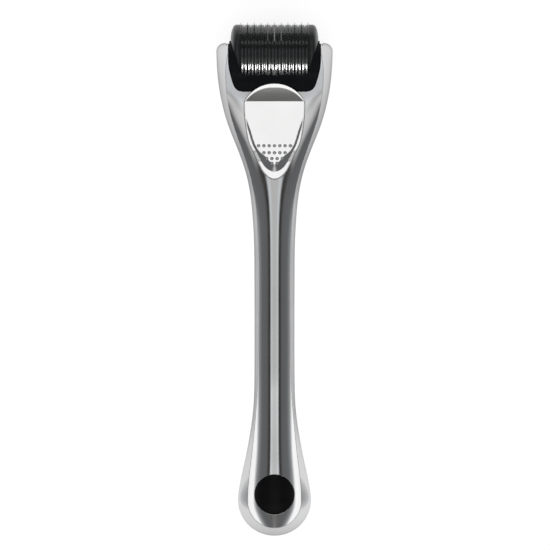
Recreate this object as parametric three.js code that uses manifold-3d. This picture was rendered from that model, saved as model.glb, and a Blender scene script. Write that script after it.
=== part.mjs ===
// Derma roller: a slim plated handle with a teardrop end, and a fork that holds a needle drum.
// It lies on its back. X runs across it, Y along it towards the drum, and Z up out of its front.
// Stations along the handle are given as s, the distance from the drum's axis towards the bulb.
// All sizes are in millimetres.

import * as THREE from "three";
import { mergeVertices } from "three/addons/utils/BufferGeometryUtils.js";
import Module from "manifold-3d";

const wasm = await Module();
wasm.setup();

// Driving dimensions
const TIP_RADIUS = 8.7; // drum axis to needle tips
const BULB_END = 133.1; // drum axis to the far end of the bulb
const HEAD_Y = (BULB_END - TIP_RADIUS) / 2; // puts the object's middle at Y = 0
const AXIS_Z = 9.7; // height of the drum's axis
const GAP = 0.3; // between pieces that are set into each other
const FAR = 60; // well outside the object

// Handle
const ARM_END = -3.0; // s where the fork's arms stop
const ARM_HALF_WIDTH = 16.1;
const ARM_CORNER = 2.3; // corner radius of an arm's end
const NOSE_LENGTH = 1.8; // stretch over which an arm's end thins
const NOSE_HEIGHT = 0.85; // what is left of the arm's thickness at its end
const BULB_RADIUS = 10.1;
const BULB_CENTRE = BULB_END - BULB_RADIUS;
const LID_RADIUS = 7.4; // round end of the front cover
const LID_CENTRE = 123.3;
const LID_START = 8.0; // s where the front cover starts, beside the cradle
const LID_HALF_TOP = 12.6; // its half width there
const DOME_POWER = 2.3; // 2 is an ellipse, more is flatter on top
const LID_DEPTH = 1.6; // how far the cover reaches below its own edge
const FRONT_WALL = 3.0;
const BACK_WALL = 1.5;
const HOLLOW_START = 14;
const HOLLOW_END = 129.5;

// Cradle
const CRADLE_END = 10.3; // s of its lower edge
const CRADLE_HALF_WIDTH = 12.45; // where it shows between the arms
const EAR_HALF_WIDTH = 13.05; // where its ears sit inside the arms
const EAR_HALF_HEIGHT = 3.2;
const EAR_TOP = -2.7; // s where the hidden part of an ear stops
const WINDOW_HEIGHT = 2.6; // half height above which the drum's window is cut

// Thumb shield
const SHIELD_TOP = 8.36; // s of the top of its arch
const SHIELD_CORNER = { x: 8.3, s: 13.4 };
const SHIELD_APEX = 34.6;

// Badge
const BADGE_S = 121.4;
const BADGE_RADIUS = 5.5;
const BADGE_TOP = 13.85;
const BADGE_THICKNESS = 0.9;

// Drum
const ROWS = 11;
const ROW_PITCH = 1.86;
const TEETH = 49;
const DISC_THICKNESS = 0.25;
const ROOT_RADIUS = 7.3;
const BODY_RADIUS = 8.1;
const STACK_GAP = 0.03; // between a disc and the spacer next to it
const CORE_RADIUS = 4.0; // across the hexagon's corners
const CORE_HALF_LENGTH = 11.3;
const HEX_EASE = 0.06;
const CAP_HALF_LENGTH = 11.75;
const AXLE_RADIUS = 1.5;
const AXLE_HALF_LENGTH = 13.1;
const AXLE_CHAMFER = 0.25;
const BORE_RADIUS = 1.6;
const SWEEP = 0.45; // room that the cradle leaves round the needle tips
const SIDE_PLAY = 0.2; // room that it leaves round the end caps
const ROUND = 24; // sides of round pieces

// A smooth curve through points [s, value]. Its slope at a point is that between the neighbours.
function through(...points) {
  const slopes = points.map((point, i) => {
    const before = points[Math.max(i - 1, 0)];
    const after = points[Math.min(i + 1, points.length - 1)];
    return (after[1] - before[1]) / (after[0] - before[0]);
  });
  return (s) => {
    let i = 0;
    while (i < points.length - 2 && s > points[i + 1][0]) i += 1;
    const [s0, v0] = points[i];
    const [s1, v1] = points[i + 1];
    const t = THREE.MathUtils.clamp((s - s0) / (s1 - s0), 0, 1);
    const rise = (s1 - s0) * t * (1 - t);
    const blend = t * t * (3 - 2 * t);
    const bend = slopes[i] * (1 - t) - slopes[i + 1] * t;
    return v0 + (v1 - v0) * blend + rise * bend;
  };
}

// The handle's outline, edge of the front cover and side profile, along s
const outline = through(
  [-5, 16.1], [0, ARM_HALF_WIDTH], [8.3, 15.5], [15.5, 14.1], [20, 12.75], [24.3, 10.95],
  [28.7, 9.2], [33.1, 7.75], [38, 6.75], [44, 6.1], [52, 5.65], [62, 5.55], [90, 5.55],
  [97, 5.75], [102, 6.3], [106, 6.95], [110.4, 7.75], [114.8, 8.75], [119, 9.6],
  [BULB_CENTRE, BULB_RADIUS], [127, 9.6],
);
const lidEdge = through(
  [-5, 13.6], [1.5, 13.6], [8, 13.35], [13.8, 12.9], [17.7, 12.0], [21.5, 10.8], [25.1, 9.5],
  [29.3, 8.0], [33.4, 6.75], [38.5, 5.6], [44.4, 4.9], [52, 4.62], [62, 4.55], [90, 4.6],
  [98, 5.0], [105, 5.65], [110, 6.15], [115, 6.8], [119.5, 7.25], [LID_CENTRE, LID_RADIUS],
  [127, 7.25],
);
const crown = through(
  [-5, 15.2], [9, 15.2], [13, 14.85], [20, 13.4], [27, 12.15], [34, 11.45], [45, 11.05],
  [60, 11], [88, 11], [98, 11.4], [107, 12.6], [115, 13.9], [LID_CENTRE, 14.7], [131.6, 13.9],
);
const domeRise = through(
  [-5, 0.8], [9, 0.8], [20, 1.2], [34, 1.6], [60, 1.8], [88, 1.8], [98, 2.2], [107, 3.2],
  [115, 4.1], [LID_CENTRE, 4.6], [131.6, 4.1],
);
const waist = through(
  [-5, AXIS_Z], [8, AXIS_Z], [14, 9.0], [20, 7.9], [27, 6.9], [34, 6.3], [45, 6.1], [60, 6.3],
  [88, 6.4], [100, 6.6], [110, 7.0], [BULB_CENTRE, 7.2], [134, 7.2],
);
const back = through(
  [-5, 4.2], [6, 4.2], [11, 3.3], [17, 1.4], [22, 0.2], [27, -0.2], [32, 0], [38, 0.6],
  [48, 1.5], [60, 2.0], [80, 2.1], [95, 1.4], [105, 0.5], [113, -0.1], [120, -0.3], [134, -0.3],
);
const backPower = through([-5, 5], [8, 5], [20, 3.2], [34, 2.5], [60, 2.3], [100, 2.3], [134, 2.4]);

function roundEnd(s, centre, radius) {
  return Math.sqrt(Math.max(radius ** 2 - (s - centre) ** 2, 0));
}

function halfWidth(s) {
  if (s > BULB_CENTRE) return roundEnd(s, BULB_CENTRE, BULB_RADIUS);
  const cornerStart = ARM_END + ARM_CORNER;
  if (s > cornerStart) return outline(s);
  return ARM_HALF_WIDTH - ARM_CORNER + roundEnd(s, cornerStart, ARM_CORNER);
}

function lidHalfWidth(s) {
  if (s > LID_CENTRE) return roundEnd(s, LID_CENTRE, LID_RADIUS);
  return Math.min(lidEdge(s), halfWidth(s));
}

// How much of the arms' thickness is left near their ends.
function nose(s) {
  const t = THREE.MathUtils.clamp((ARM_END + NOSE_LENGTH - s) / NOSE_LENGTH, 0, 1);
  return NOSE_HEIGHT + (1 - NOSE_HEIGHT) * Math.sqrt(1 - t * t);
}

// Height of the front cover's dome at x. Round the bulb's end it is a dome of revolution.
function domeHeight(x, s) {
  const round = s > LID_CENTRE;
  const part = round ? Math.hypot(x, s - LID_CENTRE) / LID_RADIUS : Math.abs(x) / lidHalfWidth(s);
  const drop = 1 - (1 - Math.min(part, 1) ** DOME_POWER) ** (1 / DOME_POWER);
  return crown(s) - domeRise(s) * drop;
}

// Height of the band between the outline and the cover's edge. part is 0 at the outline.
function bandHeight(part, s) {
  const top = crown(s) - domeRise(s);
  const curve = 0.5 * part + 0.5 * Math.sqrt(1 - (1 - part) ** 2);
  return waist(s) + (top - waist(s)) * curve;
}

function backHeight(x, s) {
  const round = s > BULB_CENTRE;
  const part = round ? Math.hypot(x, s - BULB_CENTRE) / BULB_RADIUS : Math.abs(x) / halfWidth(s);
  const power = backPower(s);
  const depth = Math.max(1 - Math.min(part, 1) ** power, 0) ** (1 / power);
  return waist(s) + (back(s) - waist(s)) * depth;
}

// Distance from the outline to the cover's edge, measured from x at s, as a part of 1.
function bandPart(x, s) {
  if (s <= BULB_CENTRE) return (halfWidth(s) - x) / (halfWidth(s) - lidHalfWidth(s));
  const outer = BULB_RADIUS - Math.hypot(x, s - BULB_CENTRE);
  const inner = Math.hypot(x, s - LID_CENTRE) - LID_RADIUS;
  return outer / (outer + inner);
}

function frontHeight(x, s) {
  const reach = s > LID_CENTRE ? Math.hypot(x, s - LID_CENTRE) : x;
  const edge = s > LID_CENTRE ? LID_RADIUS : lidHalfWidth(s);
  if (reach < edge) return domeHeight(x, s);
  return bandHeight(THREE.MathUtils.clamp(bandPart(x, s), 0, 1), s);
}

// Places across the front of the handle, from its outline to its middle.
function frontPlaces(s) {
  const width = halfWidth(s);
  const lid = lidHalfWidth(s);
  if (lid < 0.5 * width) return [1, 0.93, 0.8, 0.62, 0.42, 0.2].map((part) => width * part);
  const band = [0, 0.35, 1].map((part) => width + (lid - width) * part);
  return [...band, ...[0.8, 0.55, 0.28].map((part) => lid * part)];
}

function handleRing(s) {
  const width = halfWidth(s);
  const front = frontPlaces(s).map((x, i) => [x, i === 0 ? waist(s) : frontHeight(x, s)]);
  const rear = [0.3, 0.58, 0.82, 0.97].map((part) => [width * part, backHeight(width * part, s)]);
  const mirrored = (half) => half.map(([x, z]) => [-x, z]).reverse();
  const top = [...front, [0, frontHeight(0, s)], ...mirrored(front)];
  const bottom = [...mirrored(rear), [0, backHeight(0, s)], ...rear];
  return [...top, ...bottom].map(([x, z]) => {
    return new THREE.Vector3(x, HEAD_Y - s, waist(s) + (z - waist(s)) * nose(s));
  });
}

function hollowRing(s) {
  const low = back(s) + BACK_WALL;
  const high = crown(s) - FRONT_WALL;
  const end = Math.min(1, (s - HOLLOW_START + 1) / 4);
  const bulb = s > BULB_CENTRE ? roundEnd(s, BULB_CENTRE, HOLLOW_END + 0.5 - BULB_CENTRE) / 7 : 1;
  const scale = end * bulb;
  const width = (halfWidth(Math.min(s, BULB_CENTRE)) * 0.74 - 0.15) * scale;
  const height = ((high - low) / 2) * scale;
  const points = [];
  for (let i = 0; i < 12; i += 1) {
    const angle = (i / 12) * 2 * Math.PI;
    const x = width * Math.cos(angle);
    const z = (low + high) / 2 + height * Math.sin(angle);
    points.push(new THREE.Vector3(x, HEAD_Y - s, z));
  }
  return points;
}

// A closed skin over a row of rings, with a flat fan over each end.
function loft(rings) {
  const count = rings[0].length;
  const points = rings.flat();
  const middle = (ring) => {
    const sum = ring.reduce((total, point) => total.add(point), new THREE.Vector3());
    return sum.divideScalar(ring.length);
  };
  points.push(middle(rings[0]), middle(rings[rings.length - 1]));
  const faces = [];
  for (let r = 0; r < rings.length - 1; r += 1) {
    for (let i = 0; i < count; i += 1) {
      const a = r * count + i;
      const b = r * count + ((i + 1) % count);
      faces.push(a, b, a + count, b, b + count, a + count);
    }
  }
  const last = (rings.length - 1) * count;
  for (let i = 0; i < count; i += 1) {
    const next = (i + 1) % count;
    faces.push(points.length - 2, next, i);
    faces.push(points.length - 1, last + i, last + next);
  }
  const geometry = new THREE.BufferGeometry().setFromPoints(points);
  geometry.setIndex(faces);
  return geometry;
}

// Solids: a closed geometry becomes one that can be cut and joined.
function solid(geometry) {
  const bare = geometry.clone();
  bare.deleteAttribute("normal");
  bare.deleteAttribute("uv");
  const merged = mergeVertices(bare, 1e-5);
  const vertProperties = new Float32Array(merged.attributes.position.array);
  const triVerts = new Uint32Array(merged.index.array);
  return new wasm.Manifold(new wasm.Mesh({ numProp: 3, vertProperties, triVerts }));
}

function geometryOf(body) {
  const mesh = body.getMesh();
  const geometry = new THREE.BufferGeometry();
  geometry.setAttribute("position", new THREE.BufferAttribute(new Float32Array(mesh.vertProperties), 3));
  geometry.setIndex(new THREE.BufferAttribute(new Uint32Array(mesh.triVerts), 1));
  geometry.computeVertexNormals();
  return geometry;
}

function without(body, ...cutters) {
  return cutters.reduce((left, cutter) => left.subtract(cutter), body);
}

// A plan is an outline in x and s, raised from one height to another.
function plan(shape, low, high) {
  const geometry = new THREE.ExtrudeGeometry(shape, {
    depth: high - low, bevelEnabled: false, curveSegments: 5,
  });
  return solid(geometry.translate(0, 0, low));
}

// A side view is an outline in s and z, stretched from -half to half across X.
function side(shape, half) {
  const geometry = new THREE.ExtrudeGeometry(shape, {
    depth: 2 * half, bevelEnabled: false, curveSegments: 5,
  });
  const turn = new THREE.Matrix4().makeBasis(
    new THREE.Vector3(0, -1, 0),
    new THREE.Vector3(0, 0, 1),
    new THREE.Vector3(-1, 0, 0),
  );
  geometry.translate(0, 0, -half).applyMatrix4(turn).translate(0, HEAD_Y, 0);
  return solid(geometry);
}

// A shape in the plan from points [x, s] of its right half, mirrored to the left.
function mirroredShape(half) {
  const right = half.map(([x, s]) => new THREE.Vector2(x, HEAD_Y - s));
  const left = half
    .filter(([x]) => x > 0)
    .map(([x, s]) => new THREE.Vector2(-x, HEAD_Y - s))
    .reverse();
  return new THREE.Shape([...right, ...left]);
}

function steps(from, to, count) {
  return Array.from({ length: count + 1 }, (_, i) => from + ((to - from) * i) / count);
}

// Stations of the handle's rings. The front cover's plan uses those between its ends too.
const noseStations = [0, 0.25, 0.6, 1].map((t) => ARM_END + NOSE_LENGTH * t);
const sideStations = [...steps(1.5, 41.5, 10), 49, 58, 70, 84, 93, ...steps(98, BULB_CENTRE, 6)];
const endStations = [0.3, 0.55, 0.75, 0.9, 0.985].map((t) => {
  return BULB_CENTRE + BULB_RADIUS * Math.sin((t * Math.PI) / 2);
});

// Handle body before it is divided
function handleBody() {
  return solid(loft([...noseStations, ...sideStations, ...endStations].map(handleRing)));
}

function handleHollow() {
  const stations = [HOLLOW_START, 18, 24, 31, 40, 52, 70, 90, 100, 108, 116, BULB_CENTRE, 126.5, HOLLOW_END];
  return solid(loft(stations.map(hollowRing)));
}

function floorCut() {
  const box = new THREE.BoxGeometry(2 * FAR, 4 * FAR, FAR);
  return solid(box.translate(0, 0, -FAR / 2));
}

// Plan of the front cover, grown by ease all round.
function lidPlan(ease) {
  const between = sideStations.filter((s) => s > LID_START + 1 && s < BULB_CENTRE);
  const sides = between.map((s) => [lidEdge(s) + ease, s]);
  const end = steps(0, 1, 7).map((t) => {
    const angle = (t * Math.PI) / 2;
    const radius = LID_RADIUS + ease;
    return [radius * Math.cos(angle), LID_CENTRE + radius * Math.sin(angle)];
  });
  end[end.length - 1][0] = 0;
  const start = [[LID_HALF_TOP + ease, LID_START - ease]];
  return mirroredShape([...start, ...sides, ...end]);
}

// The cover's underside follows its edge, LID_DEPTH below it.
function lidBlock(ease, drop) {
  const stations = [LID_START - 2, 13, 20, 27, 34, 45, 60, 88, 98, 107, 115, 122, BULB_END];
  const shape = new THREE.Shape();
  stations.forEach((s, i) => {
    const height = crown(s) - domeRise(s) - LID_DEPTH - drop;
    if (i === 0) shape.moveTo(s, height);
    else shape.lineTo(s, height);
  });
  shape.lineTo(BULB_END, FAR / 2);
  shape.lineTo(LID_START - 2, FAR / 2);
  return plan(lidPlan(ease), 0, FAR / 2).intersect(side(shape, FAR / 2));
}

// Plan of the cradle where it shows between the arms, grown by ease.
function cradlePlan(ease, top) {
  const half = [
    [CRADLE_HALF_WIDTH + ease, top],
    [CRADLE_HALF_WIDTH + ease, 2.5],
    [12.2 + ease, 4.4],
    [11.65 + ease, 6.6],
    [11.15 + ease, 8.4],
    [10.7 + ease, 9.4 + ease * 0.5],
    [9.9 + ease * 0.7, 10.05 + ease * 0.7],
    [8.7, CRADLE_END + ease],
  ];
  return mirroredShape(half);
}

// Plan of the cradle's hidden middle, with the ears that sit inside the arms.
function earPlan(ease, top) {
  const half = [
    [EAR_HALF_WIDTH + ease, top],
    [EAR_HALF_WIDTH + ease, 5.2],
    [12.65 + ease, 7.2],
    [11.7 + ease, 8.9 + ease * 0.5],
    [10.2 + ease * 0.5, 9.95 + ease],
    [8.5, CRADLE_END + ease],
  ];
  return mirroredShape(half);
}

// The cradle's hood in side view: a rounded ear that widens into the trough.
function hoodSide() {
  const top = [
    [-5.2, 0], [-4.7, 2.4], [-3.5, 4.6], [-1.9, 6.4], [-0.2, 7.9], [1.6, 8.5], [4, 8.6],
    [7, 8.1], [9.2, 7.1], [CRADLE_END + 1, 5.9],
  ];
  const front = top.map(([s, z]) => new THREE.Vector2(s, AXIS_Z + z));
  const rear = top.slice(1).map(([s, z]) => new THREE.Vector2(s, AXIS_Z - z));
  return new THREE.Shape([...front, ...rear.reverse()]);
}

// The opening through which the drum shows.
function windowPlan() {
  return mirroredShape([
    [13.5, -8], [13.5, -4.6], [11.9, -2.8], [11.7, -1.7], [11.3, -0.55], [10.9, 0.55],
    [10.4, 1.66], [10.05, 2.9], [9.7, 4.4], [9.3, 5.4], [8.6, 6.1],
  ]);
}

// Space swept by the drum, with the room that it runs in.
function drumSpace() {
  const tips = TIP_RADIUS + SWEEP;
  const profile = [
    [0, CAP_HALF_LENGTH + SIDE_PLAY], [6.9, CAP_HALF_LENGTH + SIDE_PLAY], [7.7, 11.6],
    [BODY_RADIUS + 0.4, 10.5], [tips, 9.8], [tips, -9.8], [BODY_RADIUS + 0.4, -10.5], [7.7, -11.6],
    [6.9, -CAP_HALF_LENGTH - SIDE_PLAY], [0, -CAP_HALF_LENGTH - SIDE_PLAY],
  ];
  const points = profile.map(([r, x]) => new THREE.Vector2(r, x)).reverse();
  return acrossHead(new THREE.LatheGeometry(points, 40));
}

// Turns a piece made round Y so that it lies along the drum's axis.
function acrossHead(geometry) {
  return solid(geometry.rotateZ(-Math.PI / 2).translate(0, HEAD_Y, AXIS_Z));
}

// Right half of the shield's outline: an arch, a corner, and a side that runs to the lower point.
function shieldHalf(ease) {
  const rise = SHIELD_CORNER.s - SHIELD_TOP;
  const radius = (SHIELD_CORNER.x ** 2 + rise ** 2) / (2 * rise);
  const reach = Math.asin(SHIELD_CORNER.x / radius);
  const arch = steps(0, reach, 6).map((angle) => {
    const r = radius + ease;
    return [r * Math.sin(angle), SHIELD_TOP + radius - r * Math.cos(angle)];
  });
  const edge = new THREE.SplineCurve([
    new THREE.Vector2(8.25 + ease, 15),
    new THREE.Vector2(7.85 + ease, 19.6),
    new THREE.Vector2(6.8 + ease, 24.3),
    new THREE.Vector2(5.1 + ease * 0.9, 27.9 + ease * 0.4),
    new THREE.Vector2(3.4 + ease * 0.7, 31.1 + ease * 0.7),
    new THREE.Vector2(1.8 + ease * 0.4, 33.3 + ease * 0.9),
  ]);
  const sidePoints = edge.getPoints(9).map((point) => [point.x, point.y]);
  return [...arch, ...sidePoints, [0, SHIELD_APEX + ease]];
}

// Side view of the shield: top, from the arch over the ridge down the panel to the lower rim.
const shieldTop = [[7, 15.0], [SHIELD_TOP, 15.3], [SHIELD_CORNER.s, 16.6], [31, 11.7], [32.4, 12.15], [36, 11.7]];
const shieldUnder = [[36, 10.3], [31, 10.4], [27, 10.9], [20, 12.1], [13, 13.5], [10.6, 13.7], [7, 13.7]];

function shieldBlock(ease, roof) {
  const top = roof ?? shieldTop;
  const under = shieldUnder.map(([s, z]) => [s, z - ease]);
  const points = [...top, ...under].map(([s, z]) => new THREE.Vector2(s, z));
  const shape = new THREE.Shape(points.reverse());
  return plan(mirroredShape(shieldHalf(ease)), 0, FAR / 2).intersect(side(shape, FAR / 2));
}

function pin(radius, half) {
  return acrossHead(new THREE.CylinderGeometry(radius, radius, 2 * half, ROUND));
}

function disc(radius, low, high, s) {
  const geometry = new THREE.CylinderGeometry(radius, radius, high - low, 40);
  return solid(geometry.rotateX(Math.PI / 2).translate(0, HEAD_Y - s, (low + high) / 2));
}

function makeCradle() {
  const hood = plan(cradlePlan(0, -6), 0, FAR / 2).intersect(side(hoodSide(), FAR / 2));
  const ears = plan(earPlan(0, EAR_TOP), AXIS_Z - EAR_HALF_HEIGHT, AXIS_Z + EAR_HALF_HEIGHT);
  const frontWindow = plan(windowPlan(), AXIS_Z + WINDOW_HEIGHT, FAR / 2);
  const rearWindow = plan(windowPlan(), -FAR, AXIS_Z - WINDOW_HEIGHT);
  const shieldSeat = shieldBlock(GAP, [[7, FAR / 3], [36, FAR / 3]]);
  const body = hood.add(ears);
  const bores = pin(BORE_RADIUS, FAR / 2);
  return without(body, drumSpace(), frontWindow, rearWindow, shieldSeat, bores);
}

function makeHandle() {
  const body = handleBody().subtract(floorCut());
  const hollow = handleHollow();
  const pocket = plan(cradlePlan(GAP, -8), -FAR, FAR / 2);
  const low = AXIS_Z - EAR_HALF_HEIGHT - GAP;
  const high = AXIS_Z + EAR_HALF_HEIGHT + GAP;
  const slots = plan(earPlan(GAP, -8), low, high);
  const shieldSeat = shieldBlock(GAP, [[7, FAR / 3], [36, FAR / 3]]);
  const badgeSeat = disc(BADGE_RADIUS + GAP, BADGE_TOP - BADGE_THICKNESS - GAP, FAR / 2, BADGE_S);
  const open = without(body, pocket, slots, hollow, shieldSeat);
  return {
    rear: open.subtract(lidBlock(GAP / 2, GAP)),
    front: without(open.intersect(lidBlock(-GAP / 2, 0)), badgeSeat),
  };
}

// Drum pieces are made round their own Y or Z axis and turned into place.
function needleDisc(turned) {
  const points = [];
  for (let i = 0; i < 2 * TEETH; i += 1) {
    const angle = ((i + (turned ? 1 : 0)) / TEETH) * Math.PI + Math.PI / 2;
    const radius = i % 2 === 0 ? TIP_RADIUS : ROOT_RADIUS;
    points.push(new THREE.Vector2(radius * Math.cos(angle), radius * Math.sin(angle)));
  }
  const shape = new THREE.Shape(points);
  shape.holes.push(hexagon(CORE_RADIUS + HEX_EASE));
  const depth = DISC_THICKNESS;
  const geometry = new THREE.ExtrudeGeometry(shape, { depth, bevelEnabled: false });
  return geometry.translate(0, 0, -depth / 2);
}

function hexagon(radius) {
  const corners = Array.from({ length: 6 }, (_, i) => {
    const angle = (i / 6) * 2 * Math.PI;
    return new THREE.Vector2(radius * Math.cos(angle), radius * Math.sin(angle));
  });
  return new THREE.Shape(corners);
}

function ringOf(profile) {
  const points = [...profile, profile[0]].map(([r, along]) => new THREE.Vector2(r, along));
  return new THREE.LatheGeometry(points, ROUND);
}

function spacerRing() {
  const half = (ROW_PITCH - DISC_THICKNESS) / 2 - STACK_GAP;
  const inner = CORE_RADIUS + HEX_EASE;
  const groove = 0.22;
  const floor = BODY_RADIUS - 0.35;
  return ringOf([
    [inner, -half], [BODY_RADIUS, -half], [BODY_RADIUS, -groove], [floor, 0], [BODY_RADIUS, groove],
    [BODY_RADIUS, half], [inner, half],
  ]);
}

function endCap() {
  const start = ((ROWS - 1) / 2) * ROW_PITCH + DISC_THICKNESS / 2 + STACK_GAP;
  const inner = CORE_RADIUS + HEX_EASE;
  const floor = CORE_HALF_LENGTH + 0.05;
  return ringOf([
    [inner, start], [BODY_RADIUS, start], [BODY_RADIUS, 10.4], [7.45, 11.4], [6.6, 11.7],
    [5.8, CAP_HALF_LENGTH], [BORE_RADIUS + 0.15, CAP_HALF_LENGTH], [BORE_RADIUS + 0.15, floor],
    [inner, floor],
  ]);
}

function drumCore() {
  const shape = hexagon(CORE_RADIUS);
  const bore = new THREE.Path();
  for (let i = 0; i < ROUND; i += 1) {
    const angle = (-i / ROUND) * 2 * Math.PI;
    const x = BORE_RADIUS * Math.cos(angle);
    const y = BORE_RADIUS * Math.sin(angle);
    if (i === 0) bore.moveTo(x, y);
    else bore.lineTo(x, y);
  }
  shape.holes.push(bore);
  const depth = 2 * CORE_HALF_LENGTH;
  const geometry = new THREE.ExtrudeGeometry(shape, { depth, bevelEnabled: false });
  return geometry.translate(0, 0, -CORE_HALF_LENGTH);
}

function axlePin() {
  const end = AXLE_HALF_LENGTH;
  const small = AXLE_RADIUS - AXLE_CHAMFER;
  const profile = [
    [0, -end], [small, -end], [AXLE_RADIUS, AXLE_CHAMFER - end], [AXLE_RADIUS, end - AXLE_CHAMFER],
    [small, end], [0, end],
  ];
  const points = profile.map(([r, along]) => new THREE.Vector2(r, along));
  return new THREE.LatheGeometry(points, ROUND);
}

// Materials
const looks = {
  chrome: { color: 0xb9bbbd, roughness: 0.12, metalness: 1 },
  shieldChrome: { color: 0xd6d6d6, roughness: 0.1, metalness: 1 },
  blackGloss: { color: 0x16181a, roughness: 0.2, metalness: 0 },
  blackSatin: { color: 0x1d2021, roughness: 0.38, metalness: 0 },
  needleSteel: { color: 0x9a9a98, roughness: 0.28, metalness: 1 },
};

function piece(name, geometry, look) {
  const mesh = new THREE.Mesh(geometry, new THREE.MeshStandardMaterial(looks[look]));
  mesh.name = name;
  return mesh;
}

const number = (i) => String(i + 1).padStart(2, "0");

function makeDrum() {
  const drum = new THREE.Group();
  drum.position.set(0, HEAD_Y, AXIS_Z);
  const middle = (ROWS - 1) / 2;
  for (let i = 0; i < ROWS; i += 1) {
    const row = piece(`needle_disc_${number(i)}`, needleDisc(i % 2 === 1), "needleSteel");
    row.rotation.y = Math.PI / 2;
    row.position.x = (i - middle) * ROW_PITCH;
    drum.add(row);
  }
  for (let i = 0; i < ROWS - 1; i += 1) {
    const spacer = piece(`spacer_${number(i)}`, spacerRing(), "blackGloss");
    spacer.rotation.z = -Math.PI / 2;
    spacer.position.x = (i + 0.5 - middle) * ROW_PITCH;
    drum.add(spacer);
  }
  const rightCap = piece("end_cap_right", endCap(), "blackSatin");
  rightCap.rotation.z = -Math.PI / 2;
  const leftCap = piece("end_cap_left", endCap(), "blackSatin");
  leftCap.rotation.z = Math.PI / 2;
  const core = piece("drum_core", drumCore(), "blackSatin");
  core.rotation.y = Math.PI / 2;
  drum.add(rightCap, leftCap, core);
  return drum;
}

function makeRoller() {
  const roller = new THREE.Group();
  const handle = makeHandle();
  roller.add(piece("rear_shell", geometryOf(handle.rear), "chrome"));
  roller.add(piece("front_shell", geometryOf(handle.front), "chrome"));
  roller.add(piece("thumb_shield", geometryOf(shieldBlock(0)), "shieldChrome"));
  const badge = disc(BADGE_RADIUS, BADGE_TOP - BADGE_THICKNESS, BADGE_TOP, BADGE_S);
  roller.add(piece("badge", geometryOf(badge), "blackGloss"));
  roller.add(piece("head_cradle", geometryOf(makeCradle()), "blackSatin"));
  const axle = piece("axle", axlePin(), "needleSteel");
  axle.rotation.z = -Math.PI / 2;
  axle.position.set(0, HEAD_Y, AXIS_Z);
  roller.add(axle, makeDrum());
  return roller;
}

export default makeRoller();
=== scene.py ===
"""Derma roller: the look of a plated handle, its thumb shield, black cradle and needle drum.

The object lies on its back. X runs across it, Y along it towards the drum, Z up out of its front.
Lengths are worked out in millimetres and turned into metres when a mesh is made. Stations along the
handle are given as s, the distance from the drum's axis towards the bulb.
"""

import math

import bmesh
import bpy
import numpy as np
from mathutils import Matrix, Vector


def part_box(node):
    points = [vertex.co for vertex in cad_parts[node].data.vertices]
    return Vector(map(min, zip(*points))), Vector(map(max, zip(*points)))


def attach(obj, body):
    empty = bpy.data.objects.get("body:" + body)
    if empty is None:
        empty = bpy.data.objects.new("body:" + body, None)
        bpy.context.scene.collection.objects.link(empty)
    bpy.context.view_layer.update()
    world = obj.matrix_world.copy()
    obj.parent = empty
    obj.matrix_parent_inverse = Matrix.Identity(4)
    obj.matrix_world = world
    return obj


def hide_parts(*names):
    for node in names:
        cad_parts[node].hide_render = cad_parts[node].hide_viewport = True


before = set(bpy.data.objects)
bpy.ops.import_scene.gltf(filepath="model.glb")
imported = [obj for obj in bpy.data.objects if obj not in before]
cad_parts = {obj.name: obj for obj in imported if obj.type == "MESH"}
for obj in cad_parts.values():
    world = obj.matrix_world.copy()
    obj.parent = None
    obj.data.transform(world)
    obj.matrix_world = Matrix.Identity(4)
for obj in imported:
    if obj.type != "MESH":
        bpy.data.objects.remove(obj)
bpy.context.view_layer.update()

MM = 0.001
GAP = 0.3  # room round a piece that is set into another


def node_range(node, axis):
    """Lowest and highest coordinate of a CAD node, in millimetres."""
    low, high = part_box(node)
    return low[axis] / MM, high[axis] / MM


# Places that come from the CAD model
DRUM_LOW, DRUM_HIGH = node_range("end_cap_left", 2)
AXIS_Z = (DRUM_LOW + DRUM_HIGH) / 2
BODY_RADIUS = (DRUM_HIGH - DRUM_LOW) / 2
HEAD_Y = sum(node_range("end_cap_left", 1)) / 2
TIP_RADIUS = node_range("needle_disc_01", 1)[1] - HEAD_Y
ROWS = sum(name.startswith("needle_disc_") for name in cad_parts)
FIRST_ROW = sum(node_range("needle_disc_01", 0)) / 2
ROW_PITCH = -2 * FIRST_ROW / (ROWS - 1)
BULB_END = HEAD_Y - node_range("rear_shell", 1)[0]
ARM_END = HEAD_Y - node_range("rear_shell", 1)[1]
BADGE_RADIUS = node_range("badge", 0)[1]
BADGE_S = HEAD_Y - sum(node_range("badge", 1)) / 2
SHIELD_TOP = HEAD_Y - node_range("thumb_shield", 1)[1]
SHIELD_APEX = HEAD_Y - node_range("thumb_shield", 1)[0]
RIDGE_Z = node_range("thumb_shield", 2)[1] - 0.01
CORE_RADIUS = 4.06

# Handle
ARM_HALF_WIDTH = 16.05
ARM_CORNER = 2.3
NOSE_LENGTH = 2.2
NOSE_HEIGHT = 0.78
BULB_RADIUS = 10.1
BULB_CENTRE = BULB_END - BULB_RADIUS
LID_RADIUS = 7.4
LID_CENTRE = 123.3
LID_THICKNESS = 0.8
END_EASE = 1.8  # how much less the cover is domed towards the bulb's end
BED_DEPTH = 1.1  # depth of the bed that the front cover lies in


def hermite(points):
    """A smooth curve through points (s, value), as a function of s."""
    at = np.array([p[0] for p in points], float)
    value = np.array([p[1] for p in points], float)
    before = np.maximum(np.arange(len(at)) - 1, 0)
    after = np.minimum(np.arange(len(at)) + 1, len(at) - 1)
    slope = (value[after] - value[before]) / (at[after] - at[before])

    def curve(s):
        i = np.clip(np.searchsorted(at, s) - 1, 0, len(at) - 2)
        t = np.clip((s - at[i]) / (at[i + 1] - at[i]), 0, 1)
        bend = slope[i] * (1 - t) - slope[i + 1] * t
        lift = (at[i + 1] - at[i]) * t * (1 - t) * bend
        return value[i] + (value[i + 1] - value[i]) * t * t * (3 - 2 * t) + lift

    return curve


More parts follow.
